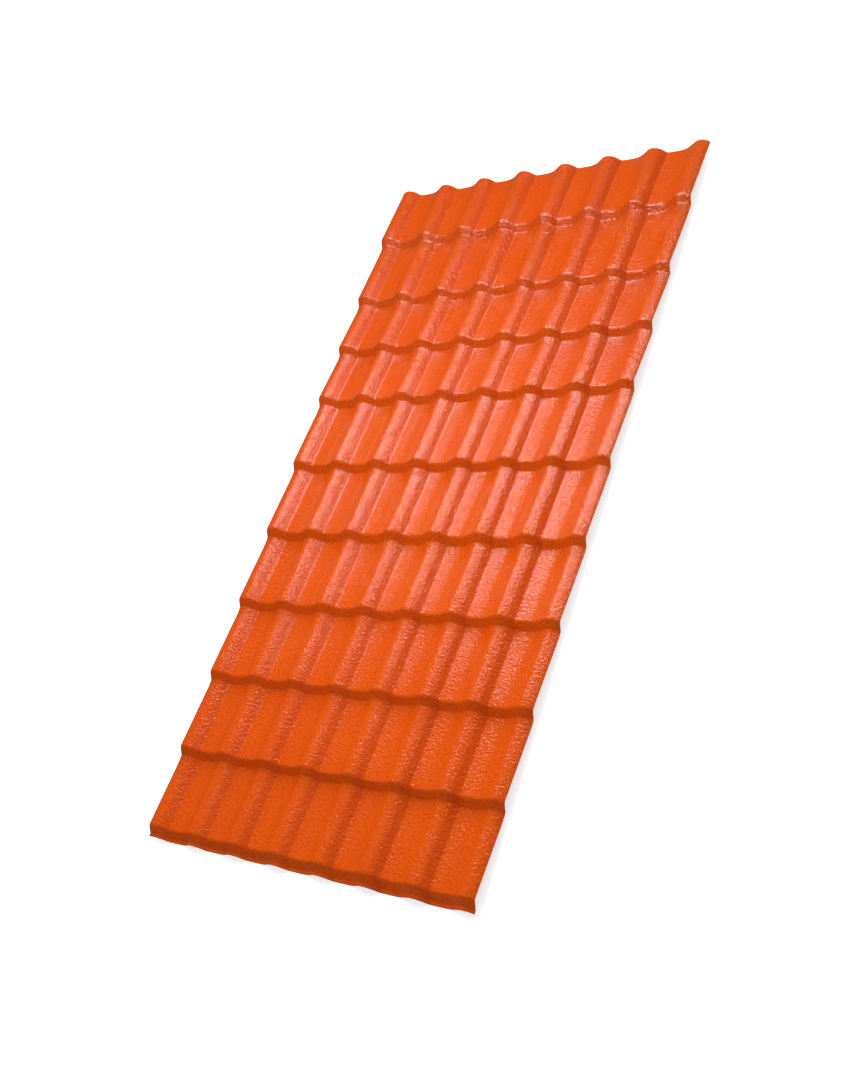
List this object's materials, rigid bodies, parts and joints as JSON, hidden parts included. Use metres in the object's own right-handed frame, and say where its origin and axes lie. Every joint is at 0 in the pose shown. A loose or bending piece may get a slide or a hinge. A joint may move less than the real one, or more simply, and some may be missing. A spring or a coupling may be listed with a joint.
{
  "type": "roofing sheet",
  "caption": "Moulded plastic roofing sheet with a tile face: rounded rolls side by side across it and stepped courses down its length, lying flat.",
  "frame": {"origin": "middle of the sheet's bounding box, on the level plane that its underside rests on", "axes": "+X across the rolls, +Y up the slope to the top edge, +Z out of the weather face"},
  "size_m": [1.074, 2.106, 0.0448],
  "materials": {
    "sheet": "terracotta-orange weather-resistant plastic with a fine leather grain and a soft sheen"
  },
  "bodies": {
    "root": {"roofing_sheet": "sheet"}
  },
  "joints": []
}
